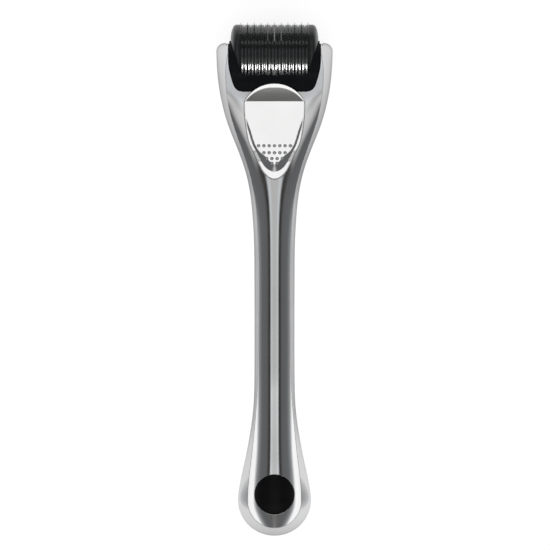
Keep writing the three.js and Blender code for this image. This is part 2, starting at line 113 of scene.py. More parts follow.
def softened(points, spread=2.5, fade=(108, 120)):
    """The same curve with its small unevenness averaged out, except near the bulb."""
    curve = hermite(points)
    grid = np.arange(-12, 140, 0.25)
    raw = curve(grid)
    reach = np.arange(-4 * spread, 4 * spread + 0.1, 0.25)
    weight = np.exp(-0.5 * (reach / spread) ** 2)
    smooth = np.convolve(np.pad(raw, len(reach) // 2, mode="edge"), weight / weight.sum(), "valid")
    part = np.clip((grid - fade[0]) / (fade[1] - fade[0]), 0, 1)
    mixed = smooth + (raw - smooth) * part * part * (3 - 2 * part)
    return lambda s: np.interp(s, grid, mixed)


outline = softened([
    (-5, ARM_HALF_WIDTH), (0, ARM_HALF_WIDTH), (8.3, 15.5), (15.5, 14.1), (20, 12.75), (24.3, 10.95),
    (28.7, 9.2), (33.1, 7.75), (38, 6.75), (44, 6.1), (52, 5.65), (62, 5.55), (90, 5.55),
    (97, 5.75), (102, 6.3), (106, 6.95), (110.4, 7.75), (114.8, 8.75), (119, 9.6),
    (BULB_CENTRE, BULB_RADIUS), (127, 9.6),
])
lid_edge = softened([
    (-5, 11.6), (-2, 12.3), (0.5, 13.0), (3.5, 13.5), (8, 13.4), (13.8, 12.9), (17.7, 12.0),
    (21.5, 10.8), (25.1, 9.5),
    (29.3, 8.0), (33.4, 6.75), (38.5, 5.6), (44.4, 4.9), (52, 4.62), (62, 4.55), (90, 4.6),
    (98, 5.0), (105, 5.65), (110, 6.15), (115, 6.8), (119.5, 7.25), (LID_CENTRE, LID_RADIUS),
    (127, 7.25),
])
crown = softened([
    (-5, 15.2), (9, 15.2), (13, 14.85), (20, 13.4), (27, 12.15), (34, 11.45), (45, 11.05),
    (60, 11), (88, 11), (98, 11.4), (107, 12.6), (115, 13.9), (LID_CENTRE, 14.7), (131.6, 13.9),
], spread=4)
dome_rise = softened([
    (-5, 0.8), (9, 0.8), (20, 1.2), (34, 1.6), (60, 1.8), (88, 1.8), (98, 2.2), (107, 3.2),
    (115, 4.1), (LID_CENTRE, 4.6), (131.6, 4.1),
], spread=4)
waist = softened([
    (-5, AXIS_Z), (8, AXIS_Z), (14, 9.0), (20, 7.9), (27, 6.9), (34, 6.3), (45, 6.1), (60, 6.3),
    (88, 6.4), (100, 6.6), (110, 7.1), (118, 7.5), (BULB_CENTRE, 7.5), (134, 6.7),
], spread=4)
back = softened([
    (-5, 4.2), (6, 4.2), (11, 3.3), (17, 1.4), (22, 0.2), (27, -0.2), (32, 0), (38, 0.6),
    (48, 1.5), (60, 2.0), (80, 2.1), (95, 1.4), (105, 0.5), (113, -0.1), (120, -0.3), (134, -0.3),
], spread=3)
back_power = softened([(-5, 5), (8, 5), (20, 3.2), (34, 2.5), (60, 2.3), (100, 2.3), (134, 2.4)])


def round_end(s, centre, radius):
    return math.sqrt(max(radius**2 - (s - centre) ** 2, 0))


def half_width(s):
    if s > BULB_CENTRE:
        return round_end(s, BULB_CENTRE, BULB_RADIUS)
    corner = ARM_END + ARM_CORNER
    if s > corner:
        return float(outline(s))
    return float(outline(corner)) - ARM_CORNER + round_end(s, corner, ARM_CORNER)


def smoothstep(x, start, end):
    t = np.clip((x - start) / (end - start), 0, 1)
    return t * t * (3 - 2 * t)


def lid_half_width(s):
    if s > LID_CENTRE:
        return round_end(s, LID_CENTRE, LID_RADIUS)
    shoulder = 1.6 - 1.3 * float(smoothstep(s, -1, 12))
    return min(float(lid_edge(s)), half_width(s) - shoulder)


def seam(s):
    """Half of the fine joint between the two shells, which closes to a hairline on the arms."""
    return 0.008 + 0.008 * float(smoothstep(s, 9, 19))


def dome_height(x, s):
    """Height of the front cover, whose section is an arc with a rounder shoulder by the shield."""
    rise = float(dome_rise(s))
    if s > LID_CENTRE:
        chord = LID_RADIUS
        away = math.hypot(x, s - LID_CENTRE)
        part = min(away / chord, 1)
        rise -= END_EASE * ((s - LID_CENTRE) / away) ** 2
    else:
        chord = lid_half_width(s)
        part = min(abs(x) / chord, 1)
    radius = (chord**2 + rise**2) / (2 * rise)
    shoulder = 0.35 * float(smoothstep(s, 9, 15) * (1 - smoothstep(s, 24, 38)))
    arc = radius - math.sqrt(radius**2 - (part * chord) ** 2)
    return float(crown(s)) - arc - shoulder * part**6


def band_part(x, s):
    """How far x lies from the outline to the cover's edge, from 0 to 1."""
    if s <= BULB_CENTRE:
        return min(max((half_width(s) - x) / (half_width(s) - lid_half_width(s)), 0), 1)
    outer = BULB_RADIUS - math.hypot(x, s - BULB_CENTRE)
    inner = math.hypot(x, s - LID_CENTRE) - LID_RADIUS
    return min(max(outer / max(outer + inner, 1e-6), 0), 1)


def edge_height(x, s):
    """Height of the front cover's edge where it lies nearest to the point (x, s)."""
    if s <= LID_CENTRE:
        return dome_height(lid_half_width(s), s)
    scale = LID_RADIUS / max(math.hypot(x, s - LID_CENTRE), LID_RADIUS)
    return dome_height(x * scale, LID_CENTRE + (s - LID_CENTRE) * scale)


def band_height(x, s):
    part = band_part(x, s)
    top = edge_height(x, s)
    round_share = 0.35 - 0.15 * float(smoothstep(s, 3, 17)) - 0.08 * float(smoothstep(s, 100, 118))
    curve = (1 - round_share) * part + round_share * math.sqrt(1 - (1 - part) ** 2)
    return float(waist(s)) + (top - float(waist(s))) * curve


def back_height(x, s):
    power = float(back_power(s))
    if s > BULB_CENTRE:
        part = math.hypot(x, s - BULB_CENTRE) / BULB_RADIUS
    else:
        part = abs(x) / half_width(s)
    depth = max(1 - min(part, 1) ** power, 0) ** (1 / power)
    return max(float(waist(s)) + float(back(s) - waist(s)) * depth, 0)


def nose(s):
    """What is left of the arms' thickness near their ends."""
    t = min(max((ARM_END + NOSE_LENGTH - s) / NOSE_LENGTH, 0), 1)
    return NOSE_HEIGHT + (1 - NOSE_HEIGHT) * math.sqrt(1 - t * t)


def thinned(points, s):
    middle = float(waist(s))
    return [(x, HEAD_Y - s, middle + (z - middle) * nose(s)) for x, z in points]


# Mesh helpers
def new_object(name, verts, faces, sharp_angle=35):
    """A piece from vertices in millimetres, smooth except across edges past the angle."""
    mesh = bpy.data.meshes.new(name)
    mesh.from_pydata([tuple(c * MM for c in v) for v in verts], [], faces)
    work = bmesh.new()
    work.from_mesh(mesh)
    bmesh.ops.remove_doubles(work, verts=work.verts, dist=1e-7)
    bmesh.ops.dissolve_degenerate(work, edges=work.edges, dist=1e-8)
    bmesh.ops.recalc_face_normals(work, faces=work.faces)
    work.to_mesh(mesh)
    work.free()
    thing = bpy.data.objects.new(name, mesh)
    bpy.context.scene.collection.objects.link(thing)
    smooth(thing, sharp_angle)
    return thing


def smooth(thing, sharp_angle):
    mesh = thing.data
    mesh.polygons.foreach_set("use_smooth", [True] * len(mesh.polygons))
    mesh.set_sharp_from_angle(angle=math.radians(sharp_angle))


def loft(rings):
    """Vertices and faces of a skin over a row of closed rings, closed at both ends."""
    count = len(rings[0])
    verts = [point for ring in rings for point in ring]
    faces = []
    for r in range(len(rings) - 1):
        for i in range(count):
            a = r * count + i
            b = r * count + (i + 1) % count
            faces.append((a, b, b + count, a + count))
    last = (len(rings) - 1) * count
    faces.append(tuple(range(count)))
    faces.append(tuple(last + i for i in reversed(range(count))))
    return verts, faces


def prism(points, low, high):
    """A plan of points (x, s) raised from one height to another."""
    ring = [(x, HEAD_Y - s) for x, s in points]
    return loft([[(x, y, low) for x, y in ring], [(x, y, high) for x, y in ring]])


def side_prism(points, half):
    """A side view of points (s, z) stretched across X."""
    return loft([[(x, HEAD_Y - s, z) for s, z in points] for x in (-half, half)])


def mirrored(half):
    """Points (x, s) of a right half, and the same on the left."""
    left = [(-x, s) for x, s in reversed(half) if x > 0]
    return list(half) + left


def smooth_line(points, count):
    """A smooth open line of count points through the given ones."""
    way = [0.0]
    for a, b in zip(points, points[1:]):
        way.append(way[-1] + math.dist(a, b))
    curves = [hermite(list(zip(way, column))) for column in zip(*points)]
    places = np.linspace(0, way[-1], count)
    return [tuple(float(curve(p)) for curve in curves) for p in places]


def lathe(name, profile, segments=96, sharp_angle=35):
    """A closed profile of points (radius, x) turned round the drum's axis."""
    rings = []
    for k in range(segments):
        angle = 2 * math.pi * k / segments
        turn = (math.cos(angle), math.sin(angle))
        rings.append([(x, HEAD_Y + r * turn[0], AXIS_Z + r * turn[1]) for r, x in profile])
    count = len(profile)
    verts = [point for ring in rings for point in ring]
    faces = []
    for k in range(segments):
        following = (k + 1) % segments
        for i in range(count):
            j = (i + 1) % count
            a, b = k * count + i, k * count + j
            c, d = following * count + j, following * count + i
            faces.append((a, b, c, d))
    return new_object(name, verts, faces, sharp_angle)


def combine(thing, other, operation):
    """Cuts or joins another object into this one and applies the result."""
    modifier = thing.modifiers.new("cut", "BOOLEAN")
    modifier.operation = operation
    modifier.solver = "EXACT"
    modifier.object = other
    bpy.context.view_layer.update()
    evaluated = thing.evaluated_get(bpy.context.evaluated_depsgraph_get())
    result = bpy.data.meshes.new_from_object(evaluated)
    thing.modifiers.clear()
    old = thing.data
    thing.data = result
    bpy.data.meshes.remove(old)
    bpy.data.objects.remove(other)


def cutter(shape):
    return new_object("cutter", *shape, sharp_angle=35)


# Handle
def stations(lid_radius):
    """Places for rings along the handle, closer together where it bends quickly."""
    tip = ARM_END + NOSE_LENGTH
    places = [tip - NOSE_LENGTH * math.cos(t) for t in np.linspace(0, math.pi / 2, 12)]
    places += list(np.linspace(tip, LID_CENTRE, 150)[1:])
    turn = np.linspace(0, math.pi / 2, 40)
    lid_end = [LID_CENTRE + lid_radius * math.sin(t) for t in turn[1:]]
    bulb_end = [BULB_CENTRE + BULB_RADIUS * math.sin(t) * 0.99999 for t in turn]
    return places + lid_end, [s for s in bulb_end if s > lid_end[-1] + 0.02]


def dome_places(edge, s, count=28):
    """Points (x, z) over the dome, from its right edge to its left."""
    across = [edge * math.cos(t) for t in np.linspace(0, math.pi, 2 * count + 1)]
    return [(x, dome_height(x, s)) for x in across]


def rear_ring(s, inner, bed):
    """A section of the rear shell: its bands beside the bed, and its back."""
    width = max(half_width(s), inner)
    across = [inner + (width - inner) * math.sin(t) for t in np.linspace(0, math.pi / 2, 11)]
    band = [(x, band_height(x, s)) for x in across]
    band[-1] = (width, float(waist(s)))
    below = [width * math.cos(t) for t in np.linspace(0, math.pi, 41)[1:-1]]
    rear = [(x, back_height(x, s)) for x in below]
    left_band = [(-x, z) for x, z in reversed(band)]
    return thinned(band + rear + left_band + list(reversed(bed)), s)


def make_rear_shell():
    rings = []
    lid_rings, end_rings = stations(LID_RADIUS + seam(LID_CENTRE))
    for s in lid_rings:
        if s > LID_CENTRE:
            inner = round_end(s, LID_CENTRE, LID_RADIUS + seam(s))
        else:
            inner = lid_half_width(s) + seam(s)
        bed = [(x, z - BED_DEPTH) for x, z in dome_places(inner, s)]
        rings.append(rear_ring(s, inner, bed))
    for s in [lid_rings[-1] + 0.001] + end_rings:
        bed = [(0, band_height(0, s))] * len(bed)
        rings.append(rear_ring(s, 0, bed))
    return new_object("rear_shell_skin", *loft(rings), sharp_angle=32)


def make_front_shell():
    rings = []
    lid_radius = LID_RADIUS - seam(LID_CENTRE)
    for s in stations(lid_radius)[0]:
        edge = lid_half_width(s) - seam(s)
        if s > LID_CENTRE:
            edge = round_end(s, LID_CENTRE, lid_radius)
        top = dome_places(edge, s)
        under = [(x, z - LID_THICKNESS) for x, z in reversed(top)]
        rings.append(thinned(top + under, s))
    return new_object("front_shell_skin", *loft(rings), sharp_angle=32)


# Openings in the handle
CRADLE_CORNER = [
    (12.45, 2.5), (12.2, 4.4), (11.65, 6.6), (11.15, 8.4), (10.7, 9.4), (9.9, 10.05), (8.7, 10.3),
]
EAR_CORNER = [(13.05, 5.2), (12.65, 7.2), (11.7, 8.9), (10.2, 9.95), (8.5, 10.3)]


def pocket_plan(corner, count, turn, ease, top):
    """Straight sides down from the top, then rounded corners; ease makes it larger all round."""
    right = [(corner[0][0] + ease, top)]
    for i, (x, s) in enumerate(smooth_line(corner, count)):
        lean = smoothstep(i, turn, count - 1)
        right.append((x + ease * (1 - lean), s + ease * lean))
    return mirrored(right)


def cradle_plan(ease, top):
    return pocket_plan(CRADLE_CORNER, 22, 10, ease, top)


def ear_plan(ease, top):
    return pocket_plan(EAR_CORNER, 14, 5, ease, top)


EAR_HALF_HEIGHT = 3.2
PAST_TIPS = -8  # a station beyond the arms' ends
FAR = 60  # well past the object in any direction


def shield_arch(ease, count=25):
    """Right half of the arch at the shield's upper end, from the middle to the corner."""
    corner_x, corner_s = 8.3, 13.4
    rise = corner_s - SHIELD_TOP
    radius = (corner_x**2 + rise**2) / (2 * rise)
    reach = math.asin(corner_x / radius)
    r = radius + ease
    turns = np.linspace(0, reach, count)
    return [(r * math.sin(t), SHIELD_TOP + radius - r * math.cos(t)) for t in turns]


SHIELD_SIDE = [
    (8.3, 13.6), (8.25, 16), (7.95, 19.6), (7.05, 24.4), (5.9, 26.9), (4.45, 30), (3.8, 31.3),
    (3.05, 32.6), (1.9, 33.8), (0.9, 34.42),
]
RIM_INSIDE = [
    (8.25, 13), (8.0, 16), (7.55, 19.6), (6.75, 22.8), (5.9, 25.3), (4.66, 27.6), (3.9, 29.1),
    (3.07, 30.6), (2.2, 31.55), (1.27, 32.2), (0.5, 32.47), (0, 32.5),
]


def shield_plan(ease):
    side = []
    for x, s in smooth_line(SHIELD_SIDE + [(0, SHIELD_APEX)], 30)[1:-1]:
        lean = smoothstep(s, 22, 34)
        side.append((x + ease * (1 - 0.6 * lean), s + ease * lean * 0.9))
    return mirrored(shield_arch(ease) + side + [(0, SHIELD_APEX + ease)])


def shield_seat():
    under = [(36, 10.0), (31, 10.1), (27, 10.6), (20, 11.8), (13, 13.2), (10.6, 13.4), (7, 13.4)]
    seat = cutter(prism(shield_plan(0.12), 0, FAR / 2))
    combine(seat, cutter(side_prism([(7, FAR), (36, FAR)] + under, FAR)), "INTERSECT")
    return seat


BADGE_INLAY = 0.4  # how deep the badge is set in
BADGE_PROUD = 0.07  # and how far it stands out


def badge_shape(radius, rise, fillet, low):
    """A round inlay with a rounded edge that follows the dome."""
    segments, rings = 96, []
    reach = [(radius, low), (radius, rise - fillet)]
    for t in np.linspace(0, math.pi / 2, 5)[1:]:
        reach.append((radius - fillet + fillet * math.cos(t), rise - fillet + fillet * math.sin(t)))
    reach += [(radius * part, rise) for part in np.linspace(0.9, 0.02, 12)]
    floor = [(radius * part, low) for part in np.linspace(0.02, 0.98, 10)]
    for r, lift in floor + reach:
        ring = []
        for t in np.linspace(0, 2 * math.pi, segments, endpoint=False):
            x, s = r * math.cos(t), BADGE_S + r * math.sin(t)
            ring.append((x, HEAD_Y - s, dome_height(x, s) + lift))
        rings.append(ring)
    return loft(rings)


def badge_seat():
    return cutter(badge_shape(BADGE_RADIUS + 0.04, 3, 0.01, -BADGE_INLAY - 0.05))


rear_shell = make_rear_shell()
front_shell = make_front_shell()
for shell in (rear_shell, front_shell):
    combine(shell, cutter(prism(cradle_plan(GAP, PAST_TIPS), -FAR, FAR)), "DIFFERENCE")
    slot_low, slot_high = AXIS_Z - EAR_HALF_HEIGHT - GAP, AXIS_Z + EAR_HALF_HEIGHT + GAP
    combine(shell, cutter(prism(ear_plan(GAP, PAST_TIPS), slot_low, slot_high)), "DIFFERENCE")
    combine(shell, shield_seat(), "DIFFERENCE")
combine(front_shell, badge_seat(), "DIFFERENCE")
smooth(rear_shell, 32)
smooth(front_shell, 32)


# Thumb shield
RIDGE_S = 13.3
PANEL_FOOT_S = 31
PANEL_FOOT = 11.75
BROW_FALL = 1.38  # from the ridge to the top of the arch
CHAMFER_FALL = 0.1
RIM_LIFT = 0.26  # of the rim beside the panel
TOE_LIFT = 0.9  # added to it round the shield's point
PLATE_ROUNDING = 0.16
SHIELD_CORNER_X = 8.3


def shield_outline(count=70):
    """Right half of the shield's outline, from the top of its arch to its point."""
    side = smooth_line(SHIELD_SIDE + [(0, SHIELD_APEX)], count)
    return shield_arch(0, 40)[:-1] + side


def shield_height(x, s, inward, within):
    """Top of the shield at a point so far inward of its outline, and within its rim."""
    if s <= RIDGE_S:
        # the brow, which ends in a chamfer round the arch
        t = (RIDGE_S - s) / (RIDGE_S - SHIELD_TOP)
        bead = 1.0 - 0.72 * min(abs(x) / SHIELD_CORNER_X, 1) ** 1.2
        chamfer = CHAMFER_FALL * max(bead - inward, 0)
        return RIDGE_Z - BROW_FALL * t - 0.1 * t * t - chamfer
    fall = (RIDGE_Z - PANEL_FOOT) / (PANEL_FOOT_S - RIDGE_S)
    height = RIDGE_Z - fall * (s - RIDGE_S)
    # the raised rim round the lower end, and the scoop inside it
    lift = RIM_LIFT * smoothstep(s, 17, 22) + TOE_LIFT * smoothstep(s, 26.5, 30)
    steepness = 0.53 + 0.11 * smoothstep(s, 28, 30)
    scoop = 0.1 + lift / steepness
    height += lift * (1 - min(within / scoop, 1))
    if inward < PLATE_ROUNDING:
        part = 1 - inward / PLATE_ROUNDING
        height -= PLATE_ROUNDING * (1 - math.sqrt(max(1 - part**2, 0)))
    return height


def rim_inside():
    """Right half of the curve where the rim falls away into the panel."""
    return smooth_line(RIM_INSIDE, 90)


def distance_to(line, x, s):
    """Distance of the points (x, s) from a line, as arrays."""
    a, b = np.array(line[:-1]), np.array(line[1:])
    point = np.stack([np.abs(x), s], axis=-1)[:, None]
    along = np.clip(((point - a) * (b - a)).sum(-1) / ((b - a) ** 2).sum(-1), 0, 1)
    return np.linalg.norm(point - a - along[..., None] * (b - a), axis=-1).min(-1)


def within_rim(line, x, s):
    """How far the points lie inside the rim, and 0 for those outside it."""
    edge = np.interp(s, [p[1] for p in line], [p[0] for p in line], right=0)
    return np.where(np.abs(x) < edge, distance_to(line, x, s), 0)


PLATE_UNDERSIDE = [12, 13, 20, 27, 31, 36], [13.6, 13.4, 12.0, 10.8, 10.3, 10.2]  # s, height


def make_shield():
    """One plate: the brow above its ridge, the panel, and the rim round the panel's foot."""
    line, inner_line = shield_outline(), rim_inside()
    brow = [SHIELD_TOP + (RIDGE_S - SHIELD_TOP) * t**2 for t in np.linspace(0.06, 1, 34)]
    panel = list(np.linspace(RIDGE_S, 30, 90)[1:])
    panel += list(np.linspace(30, SHIELD_APEX - 0.02, 60)[1:])
    rings = []
    for s in brow + panel:
        half = float(np.interp(s, [p[1] for p in line], [p[0] for p in line]))
        across = half * np.sin(np.linspace(0.5 * math.pi, -0.5 * math.pi, 73))
        places = np.full_like(across, s)
        inward, within = distance_to(line, across, places), within_rim(inner_line, across, places)
        heights = [shield_height(x, s, d, w) for x, d, w in zip(across, inward, within)]
        top = [(x, HEAD_Y - s, z) for x, z in zip(across, heights)]
        floor = float(np.interp(s, *PLATE_UNDERSIDE))
        under = [(x, y, floor) for x, y, z in reversed(top)]
        rings.append(top + under)
    return new_object("thumb_shield_plate", *loft(rings), sharp_angle=14)


DOT_ROWS = ((25.4, 7), (27.3, 5), (28.9, 4), (30.2, 2))
DOT_PITCH = 1.46
DOT_RADIUS = 0.5
DOT_HEIGHT = 0.425
DOT_SUNK = 0.08  # how deep a dot's base lies in the panel


def make_dots():
    """Rows of small raised grip dots at the panel's lower end."""
    verts, faces = [], []
    rings, sides = 5, 14
    line = rim_inside()
    for s, count in DOT_ROWS:
        for k in range(count):
            x = (k - (count - 1) / 2) * DOT_PITCH
            within = float(within_rim(line, np.array([x]), np.array([s]))[0])
            base = shield_height(x, s, 1, within) - DOT_SUNK
            first = len(verts)
            for r in range(rings):
                tilt = 0.5 * math.pi * r / rings
                reach, height = DOT_RADIUS * math.cos(tilt), base + DOT_HEIGHT * math.sin(tilt)
                for t in np.linspace(0, 2 * math.pi, sides, endpoint=False):
                    y = HEAD_Y - s + reach * math.sin(t)
                    verts.append((x + reach * math.cos(t), y, height))
            verts.append((x, HEAD_Y - s, base + DOT_HEIGHT))
            for r in range(rings - 1):
                for i in range(sides):
                    a = first + r * sides + i
                    b = first + r * sides + (i + 1) % sides
                    faces.append((a, b, b + sides, a + sides))
            top = first + rings * sides
            for i in range(sides):
                faces.append((top - sides + i, top - sides + (i + 1) % sides, top))
            faces.append(tuple(first + i for i in reversed(range(sides))))
    return new_object("thumb_shield_dots", verts, faces, sharp_angle=60)


shield_plate = make_shield()
dots = make_dots()


# Badge, blank and black
badge_parts = badge_shape(BADGE_RADIUS, BADGE_PROUD, 0.06, -BADGE_INLAY)
badge = new_object("badge_disc", *badge_parts, sharp_angle=60)


# Cradle
def hood_side():
    top = smooth_line([
        (-3.6, 0), (-3.5, 2.0), (-2.9, 4.4), (-1.7, 6.4), (-0.2, 7.9), (1.6, 8.5), (3.6, 8.6),
        (5.4, 7.9), (6.6, 6.7), (7.6, 5.8), (8.6, 5.35), (10, 5.1), (11.3, 5.0),
    ], 60)
    rear = [(s, AXIS_Z - z) for s, z in reversed(top[1:])]
    return [(s, AXIS_Z + z) for s, z in top] + rear


def window_plan():
    right = smooth_line([
        (13.5, -4.6), (11.95, -2.8), (11.7, -1.7), (11.3, -0.55), (10.9, 0.55), (10.4, 1.66),
        (10.05, 2.9), (9.75, 4.2), (9.3, 5.3), (8.4, 6.0), (7.2, 6.1),
    ], 50)
    return mirrored([(13.5, -9)] + right)


def drum_space():
    """Room for the drum to turn in, clear of its caps and its needles."""
    half = [
        (0.01, 12.18), (5.2, 12.15), (6.4, 11.95), (7.4, 11.65), (8.0, 11.3),
        (BODY_RADIUS + 0.3, 10.7), (TIP_RADIUS + 0.4, 9.8),
    ]
    profile = half + [(r, -x) for r, x in reversed(half)]
    return lathe("cutter", profile, 96)


WINDOW_HALF_HEIGHT = 2.6
PIN_HOLE = 1.6


def make_cradle():
    """The hood and its ears, hollowed for the drum, open in front and behind."""
    cradle = new_object("head_cradle_body", *prism(cradle_plan(0, -6), 0, FAR / 2))
    combine(cradle, cutter(side_prism(hood_side(), FAR)), "INTERSECT")
    ears = cutter(prism(ear_plan(0, -2.7), AXIS_Z - EAR_HALF_HEIGHT, AXIS_Z + EAR_HALF_HEIGHT))
    combine(cradle, ears, "UNION")
    combine(cradle, drum_space(), "DIFFERENCE")
    combine(cradle, cutter(prism(window_plan(), AXIS_Z + WINDOW_HALF_HEIGHT, FAR)), "DIFFERENCE")
    combine(cradle, cutter(prism(window_plan(), -FAR, AXIS_Z - WINDOW_HALF_HEIGHT)), "DIFFERENCE")
    arch = cutter(prism(shield_plan(0.12), AXIS_Z + 4.0, FAR))
    combine(cradle, arch, "DIFFERENCE")
    bore = [(0.005, -FAR / 2), (PIN_HOLE, -FAR / 2), (PIN_HOLE, FAR / 2), (0.005, FAR / 2)]
    combine(cradle, lathe("cutter", bore, 48), "DIFFERENCE")
    smooth(cradle, 30)
    return cradle


cradle = make_cradle()


# Drum
NEEDLE_SEAT = 0.25  # thickness of a disc
DISC_RIM = 0.14  # and of its rim, which shows between the rings


def make_spacer(i):
    """A black ring between two discs, with rounded shoulders and a groove round its middle."""
    centre = FIRST_ROW + (i + 0.5) * ROW_PITCH
    low, high = node_range(f"spacer_{i + 1:02d}", 0)
    half = (high - low) / 2 + (NEEDLE_SEAT - DISC_RIM) / 2
    fillet, groove, depth = 0.05, 0.11, 0.45
    side = [(CORE_RADIUS, half), (BODY_RADIUS - fillet, half), (BODY_RADIUS - 0.015, half - 0.02)]
    side += [(BODY_RADIUS, half - fillet), (BODY_RADIUS, groove + 0.06)]
    side += [(BODY_RADIUS - 0.04, groove)]
    side += [(BODY_RADIUS - depth, groove * 0.7)]
    profile = [(r, centre + x) for r, x in side] + [(r, centre - x) for r, x in reversed(side)]
    return lathe(f"spacer_ring_{i + 1:02d}", profile, 96)


def make_disc(i):
    """A thin steel disc with fine needle teeth, alternate discs turned by half a tooth."""
    teeth = 49
    root, shoulder, half_base = 8.03, 8.06, 0.08
    centre = FIRST_ROW + i * ROW_PITCH
    pitch = 2 * math.pi / teeth
    start = math.pi / 2 + (pitch / 2 if i % 2 else 0)
    edge = []
    for k in range(teeth):
        places = ((-0.5, root), (-half_base, shoulder), (0, TIP_RADIUS), (half_base, shoulder))
        for shift, radius in places:
            angle = start + (k + shift) * pitch
            edge.append((radius, angle))
    rings = []
    for x, inner in ((-0.5, True), (-0.5, False), (0.5, False), (0.5, True)):
        ring = []
        for radius, angle in edge:
            r = CORE_RADIUS + 0.02 if inner else radius
            lean = 0.0 if inner or radius < TIP_RADIUS else 0.5
            at = centre + x * DISC_RIM * (1 - lean)
            ring.append((at, HEAD_Y + r * math.sin(angle), AXIS_Z + r * math.cos(angle)))
        rings.append(ring)
    count = len(edge)
    verts = [point for ring in rings for point in ring]
    faces = []
    for k in range(4):
        for j in range(count):
            following = (j + 1) % count
            a, b = k * count + j, k * count + following
            c, d = ((k + 1) % 4) * count + following, ((k + 1) % 4) * count + j
            faces.append((a, b, c, d))
    return new_object(f"needle_row_{i + 1:02d}", verts, faces, sharp_angle=20)


def make_cap(side_name, direction):
    """A chamfered cap that closes the drum's end."""
    low, high = node_range(f"end_cap_{side_name}", 0)
    inner_x = min(abs(low), abs(high))
    face, bore, seat = 12.12, 1.75, 11.35
    shoulder = smooth_line([
        (BODY_RADIUS, 10.5), (8.0, 10.85), (7.7, 11.25), (7.15, 11.55), (6.2, 11.85), (5, 12.05),
        (4.2, face),
    ], 20)
    profile = [(CORE_RADIUS, inner_x), (BODY_RADIUS - 0.06, inner_x), (BODY_RADIUS, inner_x + 0.08)]
    profile += shoulder + [(bore, face), (bore, seat), (CORE_RADIUS, seat)]
    return lathe(f"drum_cap_{side_name}", [(r, x * direction) for r, x in profile], 96, 40)


spacers = [make_spacer(i) for i in range(ROWS - 1)]
discs = [make_disc(i) for i in range(ROWS)]
caps = [make_cap("left", -1), make_cap("right", 1)]


# Materials
class Nodes:
    """A small helper that builds a material's node tree."""

    def __init__(self, name):
        self.material = bpy.data.materials.new(name)
        self.material.use_nodes = True
        self.tree = self.material.node_tree
        self.shader = self.tree.nodes["Principled BSDF"]
        self.place = self.add("ShaderNodeTexCoord").outputs["Object"]

    def add(self, kind, **values):
        node = self.tree.nodes.new(kind)
        for key, value in values.items():
            setattr(node, key, value)
        return node

    def link(self, start, end):
        self.tree.links.new(start, end)

    def noise(self, scale, detail=3.0, stretch=(1, 1, 1), rough=0.55):
        mapping = self.add("ShaderNodeMapping")
        mapping.inputs["Scale"].default_value = stretch
        self.link(self.place, mapping.inputs["Vector"])
        node = self.add("ShaderNodeTexNoise")
        node.inputs["Scale"].default_value = scale
        node.inputs["Detail"].default_value = detail
        node.inputs["Roughness"].default_value = rough
        self.link(mapping.outputs["Vector"], node.inputs["Vector"])
        return node.outputs["Fac"]

    def ranged(self, value, low, high, from_low=0.3, from_high=0.7):
        node = self.add("ShaderNodeMapRange")
        node.inputs["From Min"].default_value = from_low
        node.inputs["From Max"].default_value = from_high
        node.inputs["To Min"].default_value = low
        node.inputs["To Max"].default_value = high
        self.link(value, node.inputs["Value"])
        return node.outputs["Result"]

    def colour(self, value, low, high):
        node = self.add("ShaderNodeMix", data_type="RGBA")
        node.inputs["A"].default_value = (*low, 1)
        node.inputs["B"].default_value = (*high, 1)
        self.link(self.ranged(value, 0, 1), node.inputs["Factor"])
        self.link(node.outputs["Result"], self.shader.inputs["Base Color"])

    def roughness(self, value, low, high):
        self.link(self.ranged(value, low, high), self.shader.inputs["Roughness"])

    def bump(self, value, height, edge=0.0):
        node = self.add("ShaderNodeBump")
        node.inputs["Strength"].default_value = 1.0
        node.inputs["Distance"].default_value = height
        self.link(value, node.inputs["Height"])
        if edge:
            bevel = self.add("ShaderNodeBevel", samples=4)
            bevel.inputs["Radius"].default_value = edge
            self.link(bevel.outputs["Normal"], node.inputs["Normal"])
        self.link(node.outputs["Normal"], self.shader.inputs["Normal"])


def plated(name, dark, light, rough, rim_tint):
    """Bright plating over moulded plastic: faint waviness and haze, darker at a grazing angle."""
    nodes = Nodes(name)
    nodes.shader.inputs["Metallic"].default_value = 1.0
    nodes.shader.inputs["Specular Tint"].default_value = (rim_tint, rim_tint, rim_tint, 1)
    nodes.colour(nodes.noise(60, 2.0), dark, light)
    nodes.roughness(nodes.noise(220, 6.0, rough=0.7), *rough)
    nodes.bump(nodes.noise(90, 1.5), 0.000004, 0.00015)
    return nodes.material


def black_plastic(name, dark, light, rough, grain_scale, grain_height, coat=0.0, edge=0.00012):
    """Moulded black plastic with a fine grain and uneven gloss."""
    nodes = Nodes(name)
    nodes.shader.inputs["Coat Weight"].default_value = coat
    nodes.shader.inputs["Coat Roughness"].default_value = 0.06
    nodes.colour(nodes.noise(400, 4.0), dark, light)
    nodes.roughness(nodes.noise(700, 5.0), *rough)
    nodes.bump(nodes.noise(grain_scale, 3.0), grain_height, edge)
    return nodes.material


def steel(name):
    """Dull steel, finely brushed."""
    nodes = Nodes(name)
    nodes.shader.inputs["Metallic"].default_value = 1.0
    nodes.colour(nodes.noise(900, 3.0), (0.06, 0.06, 0.065), (0.1, 0.1, 0.105))
    nodes.roughness(nodes.noise(2500, 4.0), 0.4, 0.55)
    nodes.bump(nodes.noise(3000, 2.0, (8, 1, 1)), 0.000003)
    return nodes.material


